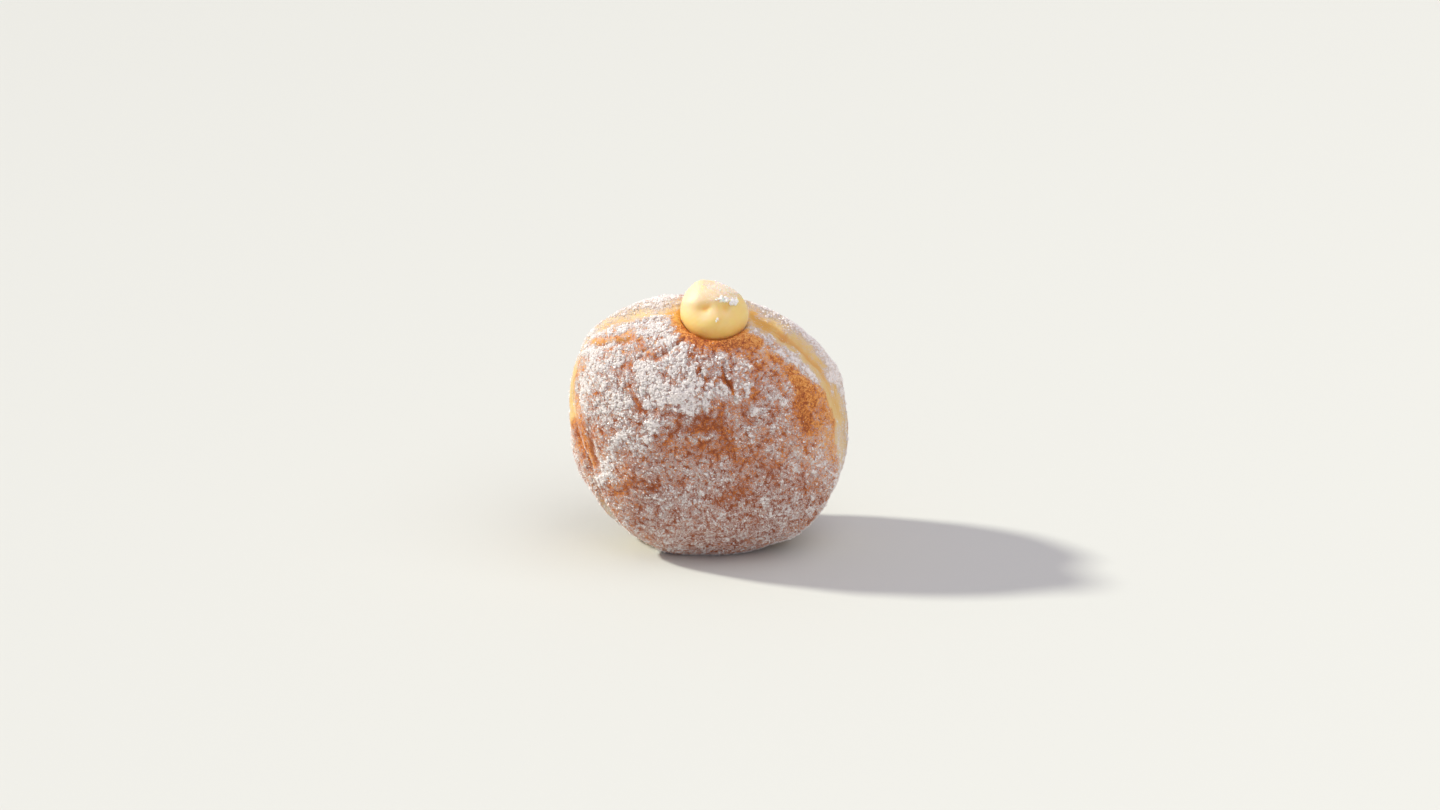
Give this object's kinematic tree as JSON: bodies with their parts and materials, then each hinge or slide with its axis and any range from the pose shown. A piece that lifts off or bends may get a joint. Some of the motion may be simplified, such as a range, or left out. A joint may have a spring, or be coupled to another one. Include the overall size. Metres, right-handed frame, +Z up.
{
  "type": "custard filled doughnut",
  "caption": "Round fried doughnut standing on its edge, with browned faces, a pale belt and a custard dollop swelling out of the crown.",
  "frame": {"origin": "centre of the overall box, on the floor under the doughnut", "axes": "+Z up, +Y through the doughnut from the front face to the back face, +X to the right seen from the front"},
  "size_m": [0.0902, 0.0586, 0.09],
  "materials": {
    "crust": "fried crust, caramel brown faces with a pale cream belt, dusted with fine white sugar",
    "custard": "smooth pale yellow custard, softly glossy"
  },
  "bodies": {
    "root": {"dough": "crust", "custard": "custard"}
  },
  "joints": []
}
